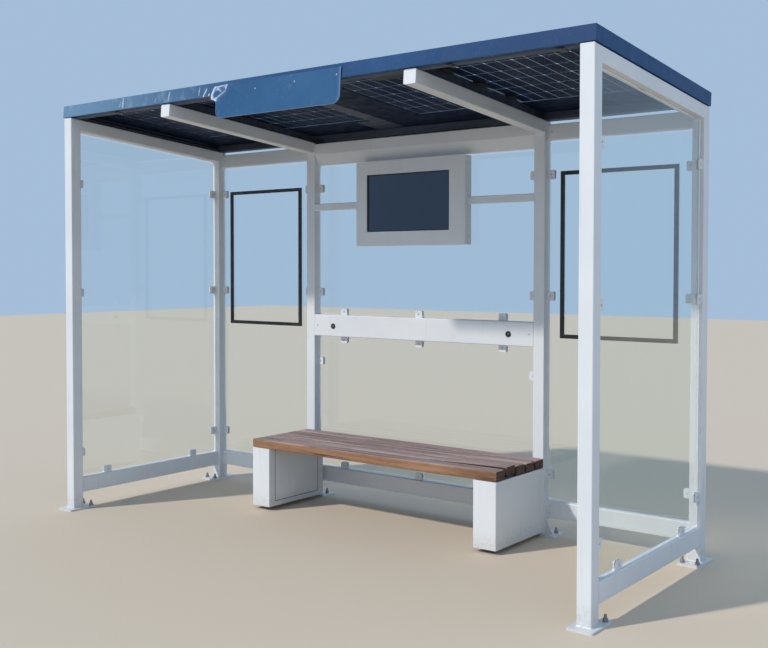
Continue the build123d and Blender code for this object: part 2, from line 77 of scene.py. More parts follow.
# %% [markdown]
# ## Floor and light
# A pale floor and a pale sky keep the eye on the shelter. The key lamp stands high at the front left.
# It is far away, so its light is even, and 2.5 degrees wide, so its shadows have soft edges. A weak,
# wide lamp fills in from the right, and with the pale sky it keeps the shaded sides of the posts blue
# rather than black. The plain view transform keeps the blue of the roof's edge as strong as it is.


# %% Floor and lamps
def mesh_of(shape, name, material):
    """Turn a finished shape into a mesh with its material."""
    mesh = bpy.data.meshes.new(name)
    shape.to_mesh(mesh)
    shape.free()
    mesh.materials.append(material)
    return mesh


def lamp(name, kind, place, aim, power, tint):
    """A studio lamp that points at a place on the shelter."""
    light = into_scene(name, bpy.data.lights.new(name, kind))
    light.data.energy = power
    light.data.color = tint
    light.location = place
    light.rotation_euler = (Vector(aim) - Vector(place)).to_track_quat("-Z", "Y").to_euler()
    return light


floor_side = 60
ground_paint = bpy.data.materials.new("pale_floor")
ground_paint.use_nodes = True
ground_shader = ground_paint.node_tree.nodes["Principled BSDF"]
ground_shader.inputs["Base Color"].default_value = (0.66, 0.55, 0.43, 1)
ground_shader.inputs["Roughness"].default_value = 0.9
ground = bmesh.new()
bmesh.ops.create_grid(ground, x_segments=4, y_segments=4, size=floor_side / 2)
floor = into_scene("floor", mesh_of(ground, "floor", ground_paint))
key_lamp = lamp("key_lamp", "SUN", (-7.0, -12.5, 12.8), (0, 0, 1.2), 2.4, (1.0, 0.955, 0.89))
key_lamp.data.angle = math.radians(2.5)
fill_lamp = lamp("fill_lamp", "AREA", (7, -3, 3), (0.5, 0, 0.6), 16, (0.9, 0.95, 1.0))
fill_lamp.data.size = 6
studio = bpy.data.worlds.new("studio")
studio.use_nodes = True
studio.node_tree.nodes["Background"].inputs["Color"].default_value = (0.53, 0.72, 0.97, 1)
studio.node_tree.nodes["Background"].inputs["Strength"].default_value = 0.71
bpy.context.scene.world = studio
bpy.context.scene.view_settings.view_transform = "Standard"
print("floor side:", floor_side, "m")

# %% [markdown]
# ## How a finish is made
# A finish is one shader with a few patterns wired into it. The patterns are read from the piece's
# place in the shelter in metres, so a blotch of 0.3 m is 0.3 m on every post. The class below keeps
# the wiring short: it can speckle, fade, tint, blend and raise a surface. Values that are the same all
# over go straight onto the shader.


# %% Tools for the finishes
class Finish:
    """One finish: a shader, and the patterns that are wired into it."""

    def __init__(self, name, **sockets):
        self.material = bpy.data.materials.new(name)
        self.material.use_nodes = True
        self.tree = self.material.node_tree
        self.shader = self.tree.nodes["Principled BSDF"]
        self.feed(self.shader, **sockets)
        self.place = self.node("TexCoord").outputs["Object"]

    def fill(self, socket, source):
        """Wire a pattern, or set a plain value or colour, into a socket."""
        if isinstance(source, bpy.types.NodeSocket):
            self.tree.links.new(source, socket)
        else:
            socket.default_value = (*source, 1) if socket.type == "RGBA" else source

    def feed(self, node, *sources, **named):
        """Fill a node's sockets, in their order or by name."""
        for socket, source in zip(node.inputs, sources):
            self.fill(socket, source)
        for name, source in named.items():
            self.fill(node.inputs[name.replace("_", " ")], source)
        return node

    def node(self, kind, *sources, **named):
        """Add a node and feed it."""
        return self.feed(self.tree.nodes.new("ShaderNode" + kind), *sources, **named)

    def speckle(self, scale, detail, roughness=0.5, stretch=(1, 1, 1)):
        """Cloudy noise in spots per metre; a small stretch along an axis makes long marks."""
        place = self.node("Mapping", self.place, Scale=stretch).outputs["Vector"]
        noise = self.node("TexNoise", place, Scale=scale, Detail=detail, Roughness=roughness)
        return noise.outputs["Fac"]

    def maths(self, operation, *patterns):
        """One sum on patterns."""
        node = self.node("Math", *patterns)
        node.operation = operation
        return node.outputs["Value"]

    def times(self, first, *others):
        """The product of patterns."""
        for other in others:
            first = self.maths("MULTIPLY", first, other)
        return first

    def along(self, axis, source=None):
        """How far along X, Y or Z a point is, in metres."""
        return self.node("SeparateXYZ", source or self.place).outputs[axis]

    def facing(self, axis):
        """How much a face looks along X, Y or Z, from -1 to 1."""
        return self.along(axis, self.node("NewGeometry").outputs["Normal"])

    def fade(self, source, start, end, low=0.0, high=1.0):
        """A smooth change from low to high while the source goes from start to end."""
        node = self.node("MapRange", source, start, end, low, high)
        node.interpolation_type = "SMOOTHSTEP"
        return node.outputs["Result"]

    def tint(self, source, colours, places=(0.3, 0.7)):
        """Colours that follow a pattern, each at its own place between 0 and 1."""
        node = self.node("ValToRGB", source)
        elements = node.color_ramp.elements
        while len(elements) < len(colours):
            elements.new(0.5)
        for element, colour, place in zip(elements, colours, places):
            element.position = place
            element.color = (*colour, 1)
        return node.outputs["Color"]

    def blend(self, factor, first, second):
        """The second colour over the first."""
        node = self.node("Mix", factor)
        node.data_type = "RGBA"
        for socket, colour in zip([s for s in node.inputs if s.type == "RGBA"], (first, second)):
            self.fill(socket, colour)
        return [s for s in node.outputs if s.type == "RGBA"][0]

    def colour(self, source):
        """Wire a pattern into the shader's colour."""
        self.feed(self.shader, Base_Color=source)

    def gloss(self, pattern, low, high, start=0.3, end=0.7):
        """Let the roughness go from low to high with a pattern."""
        self.feed(self.shader, Roughness=self.fade(pattern, start, end, low, high))

    def raise_by(self, height, distance, strength):
        """Raise the surface by a pattern; distance is in metres."""
        bump = self.node("Bump", Height=height, Distance=distance, Strength=strength)
        self.feed(self.shader, Normal=bump.outputs["Normal"])


print("tools for the finishes are ready")

# %% [markdown]
# ## White powder coat
# The tubes are galvanised and then powder coated white: the powder melts into a skin with a very fine
# orange peel. Out of doors it gets faint rain streaks, and dust near the ground, where water splashes
# back. Each of those is one pattern over a nearly even white.

# %% White powder coat for the frame
dust = (0.5, 0.47, 0.42)
splash_height = 0.24
coat = Finish("white_powder_coat", IOR=1.5)
white = coat.tint(coat.speckle(2.6, 4), ((0.71, 0.735, 0.77), (0.76, 0.785, 0.815)), (0.3, 0.62))
streaks = coat.speckle(26, 5, stretch=(1, 1, 0.06))
streaked = coat.blend(coat.fade(streaks, 0.56, 0.78, 0, 0.16), white, dust)
splash = coat.times(coat.fade(coat.along("Z"), splash_height, 0.0), coat.speckle(60, 6))
coat.colour(coat.blend(coat.fade(splash, 0.18, 0.62, 0, 0.45), streaked, dust))
coat.gloss(coat.speckle(7, 5), 0.31, 0.45)
coat.raise_by(coat.speckle(520, 2), 0.0004, 0.3)
white_coat = coat.material
print("white coat:", white_coat.name)

# %% [markdown]
# ## Blue coat with scratches
# The roof's edge is coated dark blue. Its front is painted paler towards the left end as painted glare, and
# darker towards the right end. Where something tall has brushed it, the coat is scratched through to the
# bright metal. A scratch is a straight mark with a place, a lean, a length and a width; noise makes it wander
# a little and flake. The inner faces of the folded channels are painted nearly black, as painted shade. They
# look towards the middle of the shelter, and the shader finds them by multiplying the place by the direction
# that the face looks in.


# %% Blue coat for the roof's edge
def scratch(coat, x, z, lean, length, width):
    """A slanted mark on the front edge, from its middle, its lean in radians, its length and its width."""
    shift = -(Matrix.Rotation(-lean, 3, "Y") @ Vector((x, 0, z)))
    own_place = coat.node("Mapping", coat.place, Rotation=(0, -lean, 0), Location=shift).outputs["Vector"]
    wobble = coat.times(coat.maths("SUBTRACT", coat.speckle(45, 4), 0.5), 0.016)
    across = coat.maths("ABSOLUTE", coat.maths("ADD", coat.along("X", own_place), wobble))
    along = coat.maths("ABSOLUTE", coat.along("Z", own_place))
    return coat.times(coat.fade(across, width / 2, width / 4), coat.fade(along, length / 2, length / 3))


edge_scratches = [
    (-1.402, 2.822, 0.07, 0.075, 0.020, 0.55),
    (-1.430, 2.815, 0.40, 0.050, 0.010, 0.50),
    (-1.069, 2.806, 0.30, 0.036, 0.009, 0.50),
    (-0.936, 2.817, 0.08, 0.066, 0.014, 0.60),
    (-0.650, 2.822, 0.11, 0.070, 0.011, 0.60),
    (-0.598, 2.806, 0.52, 0.070, 0.011, 1.00),
    (-0.560, 2.789, 0.50, 0.028, 0.011, 1.00),
]
coat = Finish("blue_edge_coat", IOR=1.45, Specular_IOR_Level=0.22)
look = coat.tint(coat.speckle(2.2, 2), ((0.014, 0.064, 0.18), (0.019, 0.08, 0.215)))
look = coat.blend(coat.fade(coat.speckle(60, 6), 0.54, 0.82, 0, 0.16), look, (0.22, 0.29, 0.37))
front = coat.fade(coat.facing("Y"), -0.5, -0.9)
# Paler towards the left end as painted glare, and darker towards the right end.
deeper = coat.fade(coat.along("X"), 0.4, 2.1, 0, 0.55)
painted_glare = coat.fade(coat.along("X"), 0.2, -2.1, 0, 0.62)
patches = coat.fade(coat.speckle(22, 6, 0.65, (1, 1, 0.5)), 0.5, 0.72, 0, 0.34)
rubbed = coat.times(patches, coat.fade(coat.along("X"), -0.2, -1.0))
marks = [(deeper, (0.006, 0.036, 0.12)), (painted_glare, (0.2, 0.36, 0.5)), (rubbed, (0.34, 0.44, 0.54))]
for mark, tone in marks:
    look = coat.blend(coat.times(mark, front), look, tone)
flaked = coat.times(coat.fade(coat.speckle(150, 4), 0.34, 0.54), front)
for *where, depth in edge_scratches:
    look = coat.blend(coat.times(scratch(coat, *where), flaked, depth), look, (0.62, 0.69, 0.76))
# The inner faces of the channels are painted nearly black, as painted shade.
inwards = [coat.times(coat.along(axis), coat.facing(axis)) for axis in ("X", "Y")]
inside = coat.maths("MAXIMUM", *[coat.fade(side, -0.3, -0.5) for side in inwards])
coat.colour(coat.blend(inside, look, (0.008, 0.011, 0.018)))
coat.gloss(coat.speckle(14, 5), 0.38, 0.52)
coat.raise_by(coat.speckle(480, 2), 0.0004, 0.25)
blue_edge = coat.material
print("blue coat:", blue_edge.name, "scratched in", len(edge_scratches), "places")

# %% [markdown]
# ## Glass
# The panes are 10 mm toughened glass: nearly clear, a touch green, and never quite clean. Dried rain
# leaves faint spots that are rougher than the glass, so they catch the light. The glass keeps its
# real thickness, which makes the edges look darker than the faces.

# %% Glass for the panes
glass = Finish("toughened_glass", Base_Color=(0.93, 0.975, 0.965), Transmission_Weight=1.0, IOR=1.45)
spots = glass.fade(glass.speckle(95, 5), 0.66, 0.74, 0.0, 0.06)
smears = glass.fade(glass.speckle(5, 4, stretch=(1, 1, 0.3)), 0.62, 0.8, 0.0, 0.02)
glass.feed(glass.shader, Specular_IOR_Level=0.5, Roughness=glass.maths("ADD", spots, smears))
print("glass:", glass.material.name)

# %% [markdown]
# ## Timber slats
# The seat is made of solid slats, stained and then bleached by the sun: the tops have gone grey brown,
# the front edges are still orange, and the sawn ends are dark. Grain is noise pulled long along the
# slat, broken by a second, finer one for the pores. Each slat takes its own shift, which is worked out
# from its place across the seat, so that no two look alike. The sides in the gaps are painted dark, as painted
# shade.

# %% Stained timber for the seat
slat_low, slat_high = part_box("bench_slats")
slat_count = 5
slat_pitch = (slat_high.y - slat_low.y) / slat_count
wood = Finish("stained_timber", IOR=1.45, Specular_IOR_Level=0.35)
across = wood.maths("SUBTRACT", wood.along("Y"), slat_low.y - 0.001)
slat_number = wood.maths("FLOOR", wood.maths("DIVIDE", across, slat_pitch))
# Past the front face of the front slat, the sides and undersides are painted dark: painted shade in the gaps.
between = wood.fade(wood.along("Y"), slat_low.y + 0.012, slat_low.y + 0.03, 0, 0.88)
shift = wood.node("CombineXYZ", X=wood.times(slat_number, 3.7), Z=wood.times(slat_number, 0.41))
wood.place = wood.node("VectorMath", wood.place, shift.outputs["Vector"]).outputs["Vector"]
bands = wood.speckle(34, 6, 0.62, (0.035, 1, 1))
wander = wood.speckle(3.0, 2, stretch=(0.35, 1, 1))
grain = wood.maths("ADD", wood.times(bands, 0.72), wood.times(wander, 0.28))
pores = wood.speckle(420, 3, stretch=(0.03, 1, 1))
checks = wood.speckle(70, 4, 0.6, (0.022, 1, 1))
orange = ((0.15, 0.07, 0.038), (0.3, 0.155, 0.086), (0.42, 0.235, 0.135))
grey = ((0.12, 0.07, 0.066), (0.33, 0.222, 0.208), (0.52, 0.395, 0.37))
fresh, weathered = wood.tint(grain, orange, (0.3, 0.48, 0.66)), wood.tint(grain, grey, (0.32, 0.47, 0.64))
edges = wood.blend(between, fresh, (0.03, 0.019, 0.016))
look = wood.blend(wood.fade(wood.facing("Z"), 0.1, 0.6), edges, weathered)
end_rings = wood.speckle(55, 5, stretch=(1, 0.6, 1.5))
end_grain = wood.tint(end_rings, ((0.05, 0.026, 0.018), (0.15, 0.08, 0.052)), (0.35, 0.65))
look = wood.blend(wood.fade(wood.maths("ABSOLUTE", wood.facing("X")), 0.6, 0.9), look, end_grain)
look = wood.blend(wood.fade(checks, 0.6, 0.66, 0, 0.75), look, (0.045, 0.026, 0.022))
wood.colour(wood.blend(wood.fade(pores, 0.54, 0.72, 0, 0.6), look, (0.03, 0.016, 0.011)))
wood.gloss(bands, 0.46, 0.66)
wood.raise_by(wood.maths("SUBTRACT", grain, wood.times(pores, 0.5)), 0.0012, 0.55)
timber = wood.material
print("timber:", slat_count, "slats,", round(slat_pitch * 1000), "mm apart")

# %% [markdown]
# ## Metals, plastics and rubber
# The screws are zinc plated, and the anchor bolts too, but near the ground theirs has gone dull. The
# bars under the roof are bare aluminium with long rolling marks, coloured a dark blue-grey as painted shade;
# the roof sheets are dark coated steel, and the small housings are moulded plastic with a fine grain.
# They are small or hidden, so each gets one tint pattern, which its gloss follows too.


# %% Zinc, aluminium, sheet, plastic and rubber
def small_finish(name, tint, shade, scale, roughness, stretch=(1, 1, 1), **sockets):
    """A finish with one pattern for its tint and its gloss, and a fine surface grain."""
    part = Finish(name, **sockets)
    cloud = part.speckle(scale, 5, stretch=stretch)
    part.colour(part.tint(cloud, (shade, tint), (0.34, 0.66)))
    part.gloss(cloud, roughness + 0.08, roughness - 0.06)
    part.raise_by(part.speckle(scale * 9, 3, stretch=stretch), 0.0002, 0.4)
    return part.material


zinc = small_finish("zinc_plate", (0.7, 0.71, 0.72), (0.5, 0.51, 0.52), 160, 0.38, Metallic=0.7)
dull_zinc = small_finish("dull_zinc", (0.4, 0.4, 0.4), (0.24, 0.235, 0.225), 120, 0.55, Metallic=0.6)
# A dark blue-grey base stands in as painted shade for the bars and strips under the roof.
aluminium_with_painted_shade = small_finish(
    "mill_aluminium_painted_shade", (0.088, 0.106, 0.15), (0.056, 0.07, 0.106), 30, 0.52, (0.05, 1, 1), Metallic=0.5
)
dark_sheet = small_finish(
    "dark_roof_sheet", (0.01, 0.02, 0.052), (0.007, 0.014, 0.036), 14, 0.55, IOR=1.4, Specular_IOR_Level=0.1
)
black_coat = small_finish("black_frame_coat", (0.016, 0.016, 0.018), (0.009, 0.009, 0.01), 40, 0.4, IOR=1.5)
black_plastic = small_finish("black_plastic", (0.02, 0.02, 0.022), (0.012, 0.012, 0.013), 90, 0.46, IOR=1.46)
rubber = small_finish("black_rubber", (0.016, 0.016, 0.016), (0.01, 0.01, 0.01), 120, 0.7, IOR=1.5)
ribbon = small_finish("cell_ribbon", (0.12, 0.14, 0.18), (0.07, 0.09, 0.12), 80, 0.5, Metallic=0.4)
print("small finishes, from", zinc.name, "to", ribbon.name)

# %% [markdown]
# ## Screen and solar glass
# A switched-off screen is a sheet of glass over a nearly black panel, so it is dark with a clear,
# slightly blue gloss. The solar laminates are two sheets of glass with cells between them. The cells
# are modelled as thin plates further on, and the laminate itself is very slightly frosted glass, so
# that daylight comes down through the gaps between the cells as fine bright lines.


# %% Screen, laminate and cell finishes
def glossy_finish(name, tones, spots, gloss_spots, gloss, **sockets):
    """A finish with two tones in patches, and patches of more and less gloss."""
    part = Finish(name, **sockets)
    part.colour(part.tint(part.speckle(*spots), tones))
    part.gloss(part.speckle(*gloss_spots), *gloss)
    return part.material


screen_glass = glossy_finish(
    "screen_glass", ((0.004, 0.026, 0.072), (0.008, 0.036, 0.092)), (1.4, 2), (24, 5), (0.14, 0.26, 0.4, 0.8),
    IOR=1.45, Coat_Weight=0.6, Coat_Roughness=0.05,
)
laminate = glossy_finish(
    "laminate_glass", ((0.66, 0.76, 0.86), (0.78, 0.87, 0.95)), (3, 3), (40, 4), (0.06, 0.14),
    IOR=1.3, Transmission_Weight=1.0, Specular_IOR_Level=0.3,
)
silicon = glossy_finish(
    "cell_silicon", ((0.006, 0.013, 0.042), (0.011, 0.022, 0.062)), (6, 3), (60, 4), (0.3, 0.42),
    IOR=1.3, Specular_IOR_Level=0.04, Specular_Tint=(0.55, 0.75, 1.0),
)
print("glossy finishes:", screen_glass.name, laminate.name, silicon.name)

# %% [markdown]
# ## Paint the measured pieces
# The pieces from the measured model keep their shape and get their finish here. The record names a
# slot for each, such as frame paint or glass, and each slot has one finish. The name of a piece's
# imported material says which slot it has.

# %% Give every measured piece its finish
slot_finish = {
    "frame_paint": white_coat,
    "fascia_paint": blue_edge,
    "glass": glass.material,
    "poster_frame_paint": black_coat,
    "timber": timber,
    "screen_panel": screen_glass,
    "solar_laminate": laminate,
    "roof_aluminium": aluminium_with_painted_shade,
    "roof_sheet": dark_sheet,
    "black_plastic": black_plastic,
    "socket_plastic": black_plastic,
}
painted = {}
for node_name, piece in shelter.items():
    names = [material.name for material in piece.data.materials if material]
    slot = max((slot for slot in slot_finish if any(slot in name for name in names)), key=len)
    for material_slot in piece.material_slots:
        material_slot.material = slot_finish[slot]
    painted.setdefault(slot, []).append(node_name)
for slot, names in painted.items():
    print(slot, len(names), sorted(names)[:4])

# %% [markdown]
# ## Tools for the small pieces
# Bolts, screws and beads are all made in the same few ways. A turned form is a stack of rings: with 24
# sides or more it is round, with 6 it is a nut. A plate is an outline with a thickness. A bead is a ring of
# small rounds that follows a path, a little uneven, as a weld is. Each finished piece rides on the
# shelter, so it moves wherever the shelter goes.


# %% Turned forms, plates and beads
def skin(shape, rings, closed=False):
    """Walls between rings of points. A ring of one point is a tip; a closed skin joins its two ends."""
    for lower, upper in zip(rings, rings[1:] + rings[:1] * closed):
        sides = max(len(lower), len(upper))
        for number in range(sides):
            after = (number + 1) % sides
            corners = [lower[number % len(lower)], lower[after % len(lower)]]
            corners += [upper[after % len(upper)], upper[number % len(upper)]]
            shape.faces.new(list(dict.fromkeys(corners)))


def ring_at(shape, place, radius, height, sides, flat=1.0):
    """Points round the axis of a place, every second one pulled in by a share."""
    ring = []
    for number in range(sides if radius else 1):
        angle = 2 * math.pi * number / sides
        reach = radius * flat if number % 2 else radius
        ring.append(shape.verts.new(place @ Vector((reach * math.cos(angle), reach * math.sin(angle), height))))
    return ring


def turned(shape, profile, place, sides):
    """Rings round an axis, joined by walls; profile is (radius, height) pairs."""
    skin(shape, [ring_at(shape, place, radius, height, sides) for radius, height in profile])


def plate(shape, outline, thickness, place):
    """A flat plate: its outline is points in X and Y, and its thickness goes along Z."""
    rings = [[shape.verts.new(place @ Vector((x, y, z))) for x, y in outline] for z in (0, thickness)]
    shape.faces.new(rings[0][::-1])
    shape.faces.new(rings[1])
    skin(shape, rings)


def oblong(width, height, radius=0.0, steps=4, centre=(0.0, 0.0)):
    """The outline of a rectangle, with round corners if there is a radius."""
    points = []
    for corner, (side_x, side_y) in enumerate(((1, 1), (-1, 1), (-1, -1), (1, -1))):
        for step in range(steps + 1 if radius else 1):
            angle = math.pi / 2 * (corner + step / steps)
            x = side_x * (width / 2 - radius) + radius * math.cos(angle)
            y = side_y * (height / 2 - radius) + radius * math.sin(angle)
            points.append((centre[0] + x, centre[1] + y))
    return points


def facing_place(point, outwards):
    """A place on a face: its Z looks out of the face, and its Y looks up."""
    z = Vector(outwards).normalized()
    x = Vector((0, 0, 1)).cross(z).normalized()
    return Matrix.Translation(point) @ Matrix((x, z.cross(x), z)).transposed().to_4x4()


def bead(shape, path, radius, seed):
    """A closed weld bead along a path of points in the plan, lumpy as hand welding is."""
    lumps = random.Random(seed)
    up = Vector((0, 0, 1))
    rings = []
    for number, point in enumerate(path):
        out = (path[(number + 1) % len(path)] - path[number - 1]).cross(up).normalized()
        swell = radius * (1 + 0.16 * math.sin(number * 1.9) + lumps.uniform(-0.08, 0.08))
        section = Matrix((out, up, Vector())).transposed().to_4x4()
        rings.append(ring_at(shape, Matrix.Translation(point) @ section, swell, 0, 6))
    skin(shape, rings, closed=True)


def finished(shape, name, finish, smooth=True):
    """Close a shape as a named piece that rides on the shelter."""
    bmesh.ops.recalc_face_normals(shape, faces=shape.faces)
    mesh = mesh_of(shape, name, finish)
    if smooth:
        mesh.polygons.foreach_set("use_smooth", [True] * len(mesh.polygons))
        mesh.set_sharp_from_angle(angle=math.radians(38))
    piece = into_scene(name, mesh)
    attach(piece, "root")
    return piece


def middle(node_name):
    """The middle of a measured piece's box."""
    low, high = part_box(node_name)
    return (low + high) / 2


def low_high(points):
    """The low and the high corner of the box round some points."""
    return [Vector([pick(point[axis] for point in points) for axis in range(3)]) for pick in (min, max)]


def loose_parts(node_name):
    """The boxes of a node's separate solids."""
    copy = bmesh.new()
    copy.from_mesh(shelter[node_name].data)
    bmesh.ops.remove_doubles(copy, verts=copy.verts, dist=1e-5)
    seen, boxes = set(), []
    for start in copy.verts:
        if start in seen:
            continue
        members = [start]
        for vertex in members:
            seen.add(vertex)
            others = {edge.other_vert(vertex) for edge in vertex.link_edges} - seen
            seen |= others
            members += others
        boxes.append(low_high([vertex.co for vertex in members]))
    copy.free()
    return boxes


print("tools for the small pieces are ready")

# %% [markdown]
# ## Warped slats
# The slats were planed with round edges, and years of sun and rain have moved them: each one is a
# little bowed, and at the right end the second has lifted clear of the first, which leaves a wide dark
# gap. The measured slats are straight, so they are made again: an outline with round corners is
# repeated along the slat, and each repeat is shifted and turned a little.

# %% Slats with round edges
slat_boxes = sorted(loose_parts("bench_slats"), key=lambda box: box[0].y)
slat_sections = 72
lifts = [0.004, 0.016, 0.005, 0.0, 0.001]
warp = random.Random(11)


def smooth_step(value, start, end):
    """0 before the start, 1 after the end, and smooth between."""
    share = min(1.0, max(0.0, (value - start) / (end - start)))
    return share * share * (3 - 2 * share)


seat = bmesh.new()
for (low, high), lift in zip(slat_boxes, lifts):
    outline = oblong(high.y - low.y, high.z - low.z, 0.006, steps=5)
    bow, sag, twist = (warp.uniform(-most, most) for most in (0.0015, 0.001, 0.008))
    curl = 0.035 if lift > 0.01 else 0
    rings = []
    for section in range(slat_sections + 1):
        share = section / slat_sections
        arch = math.sin(math.pi * share)
        centre = (low + high) / 2 + Vector((0, bow * arch, lift * smooth_step(share, 0.66, 1.0) + sag * arch))
        centre.x = low.x + (high.x - low.x) * share
        tilt = Matrix.Rotation(twist * (2 * share - 1) + curl * smooth_step(share, 0.72, 1.0), 4, "X")
        end_round = 0.0025 * smooth_step(abs(2 * share - 1), 1 - 2 / slat_sections, 1)
        smaller = Matrix.Diagonal((1, 1 - end_round / 0.05, 1 - end_round / 0.03, 1))
        place = Matrix.Translation(centre) @ tilt @ smaller
        rings.append([seat.verts.new(place @ Vector((0, y, z))) for y, z in outline])
    skin(seat, rings)
    seat.faces.new(rings[0])
    seat.faces.new(rings[-1])
warped_slats = finished(seat, "warped_slats", timber)
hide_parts("bench_slats")
print("slats:", len(slat_boxes), "sections each:", slat_sections)

# %% [markdown]
# ## Anchor bolts
# Each post stands on a steel plate that is bolted down with two 16 mm studs set in the ground. A stud
# has a washer and a six-sided nut 24 mm across its flats, and stands about 36 mm above the plate. The
# thread is a stack of rings with a wide and a narrow radius by turns, which reads as a thread from
# any distance at which someone would look at it.

# %% Studs, washers and nuts
plate_top, washer_top, nut_top = 0.012, 0.015, 0.0298
stud_top = plate_top + 0.036
half_tube = 0.04
beam_low, beam_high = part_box("side_beam_left")
posts = {}  # each post's x and y, how far its anchors lie from it along Y, and half their spacing
for side in ("left", "right"):
    outer_x, inner_x = middle(f"side_beam_{side}").x, middle(f"cantilever_{side}").x
    posts[f"front_{side}"] = (outer_x, beam_low.y + half_tube, 0.1, 0.045)
    posts[f"back_{side}"] = (outer_x, beam_high.y - half_tube, -0.1, 0.045)
    posts[f"middle_{side}"] = (inner_x, beam_high.y - half_tube, 0.045, 0.09)
thread = [(0.008 if ring % 2 else 0.0072, 0.01 + ring * 0.001) for ring in range(36)]
stud = [(0, 0.001), (0.0078, 0.001), *thread, (0.0064, stud_top), (0, stud_top)]
washer = [(0.0085, plate_top), (0.015, plate_top), (0.015, 0.0146), (0.0145, washer_top), (0.0085, washer_top)]
nut_corner = 0.012 / math.cos(math.pi / 6)
nut = [(0.008, washer_top), (0.0122, washer_top), (nut_corner, 0.0164)]
nut += [(nut_corner, 0.0284), (0.0122, nut_top), (0.008, nut_top)]
turn = random.Random(7)
for post, (x, y, inwards, spread) in posts.items():
    bolts = bmesh.new()
    for anchor_x in (x - spread, x + spread):
        ground = Matrix.Translation((anchor_x, y + inwards, 0)) @ Matrix.Rotation(turn.uniform(0, 1), 4, "Z")
        for profile, sides in ((stud, 16), (washer, 28), (nut, 6)):
            turned(bolts, profile, ground, sides)
    finished(bolts, f"anchor_bolts_{post}", dull_zinc)
print("anchor bolts:", 2 * len(posts))

# %% [markdown]
# ## Welds at the feet
# A post is welded all round to its plate. The bead is about 5 mm and was painted with the frame, so
# only its uneven line shows. It follows a square with round corners, a step of 3 mm at a time.


# %% Weld beads round the post feet
def square_path(x, y, half, corner, height):
    """Points round a square tube, about 3 mm apart."""
    outline = [Vector((x + right, y + back, height)) for right, back in oblong(2 * half, 2 * half, corner)]
    points = []
    for start, end in zip(outline, outline[1:] + outline[:1]):
        parts = max(1, round((end - start).length / 0.003))
        points += [start.lerp(end, part / parts) for part in range(parts)]
    return points


for number, (post, (x, y, inwards, spread)) in enumerate(posts.items()):
    weld = bmesh.new()
    bead(weld, square_path(x, y, 0.0405, 0.006, plate_top + 0.0005), 0.0042, seed=number)
    finished(weld, f"foot_weld_{post}", white_coat)
print("foot welds:", len(posts))

# %% [markdown]
# ## Screws
# Every screw that shows here is a round-headed one with a six-sided socket. The head is a low dome,
# and its socket is a ring of twelve points laid on a hexagon, pushed in. The glass clamps have one
# on each face. Their places are measured: each clamp is found as one loose part of its node.


# %% Screws in the glass clamps
def button_screw(shape, place, radius, height):
    """A domed screw head with a six-sided socket."""
    rim, socket, hexagon = radius * 0.6, radius * 0.45, math.cos(math.pi / 6)
    dome = [(radius, 0), (radius, height * 0.25), (radius * 0.86, height * 0.7), (rim, height)]
    turned(shape, dome, place, 12)
    steps = ((rim, height, 1.0), (socket, height, hexagon), (socket, height * 0.35, hexagon))
    rings = [ring_at(shape, place, reach, level, 12, flat) for reach, level, flat in steps]
    skin(shape, rings)
    shape.faces.new(rings[-1])


def screw_set(name, spots, radius, height):
    """Zinc plated screws as one piece; spots are pairs of a point and the way that its face looks."""
    heads = bmesh.new()
    for point, outwards in spots:
        button_screw(heads, facing_place(point, outwards), radius, height)
    finished(heads, name, zinc)


along_x, along_y = Vector((1, 0, 0)), Vector((0, 1, 0))
for wall, axis in (("side_left", along_x), ("side_right", along_x), ("back", along_y)):
    clamps = loose_parts(f"glass_clamps_{wall}")
    faces = [((low + high + out * (high - low)) / 2, out) for low, high in clamps for out in (-axis, axis)]
    screw_set(f"clamp_screws_{wall}", faces, 0.0065, 0.003)
    print("clamps with screws:", wall, len(clamps))

# %% [markdown]
# ## The roof's own frame
# The roof falls 118 mm from front to back, and everything on it is square to that slope. It is easier
# to work flat and tip the result, so this cell makes a place whose X runs along the shelter, whose Y
# runs down the slope to the back, and whose Z looks out of the roof.

# %% A place on the sloping roof
front_top, back_top = (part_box(f"post_{end}_left")[1].z for end in ("front", "back"))
roof_slope = math.atan((front_top - back_top) / (beam_high.y - beam_low.y))
roof = Matrix.Translation((0, 0, (front_top + back_top) / 2)) @ Matrix.Rotation(-roof_slope, 4, "X")


def on_roof(x, y, z):
    """A place in the roof's own frame."""
    return roof @ Matrix.Translation((x, y, z))


def roof_parts(node_name):
    """The separate solids of a node on the roof, measured in the roof's own frame."""
    boxes = []
    for low, high in loose_parts(node_name):
        points = [vertex.co for vertex in shelter[node_name].data.vertices]
        for axis in range(3):
            points = [point for point in points if low[axis] - 1e-5 <= point[axis] <= high[axis] + 1e-5]
        boxes.append(low_high([roof.inverted() @ point for point in points]))
    return sorted(boxes, key=lambda box: (round(box[0].x, 3), round(box[0].y, 3)))


print("roof slope:", round(math.degrees(roof_slope), 2), "degrees")

# %% [markdown]
# ## Solar cells
# Each laminate holds six rows of half cells, 83 by 168 mm, with their outer corners cut, so that four
# corners leave a small bright diamond. The cells are thin plates laid just under the laminate, where
# a passenger looks up at them, and from above they show through the glass. Fine ribbons join the cells
# of a row. A wider joint across the middle of each laminate is where the junction boxes sit, and a
# black border is printed at each end.

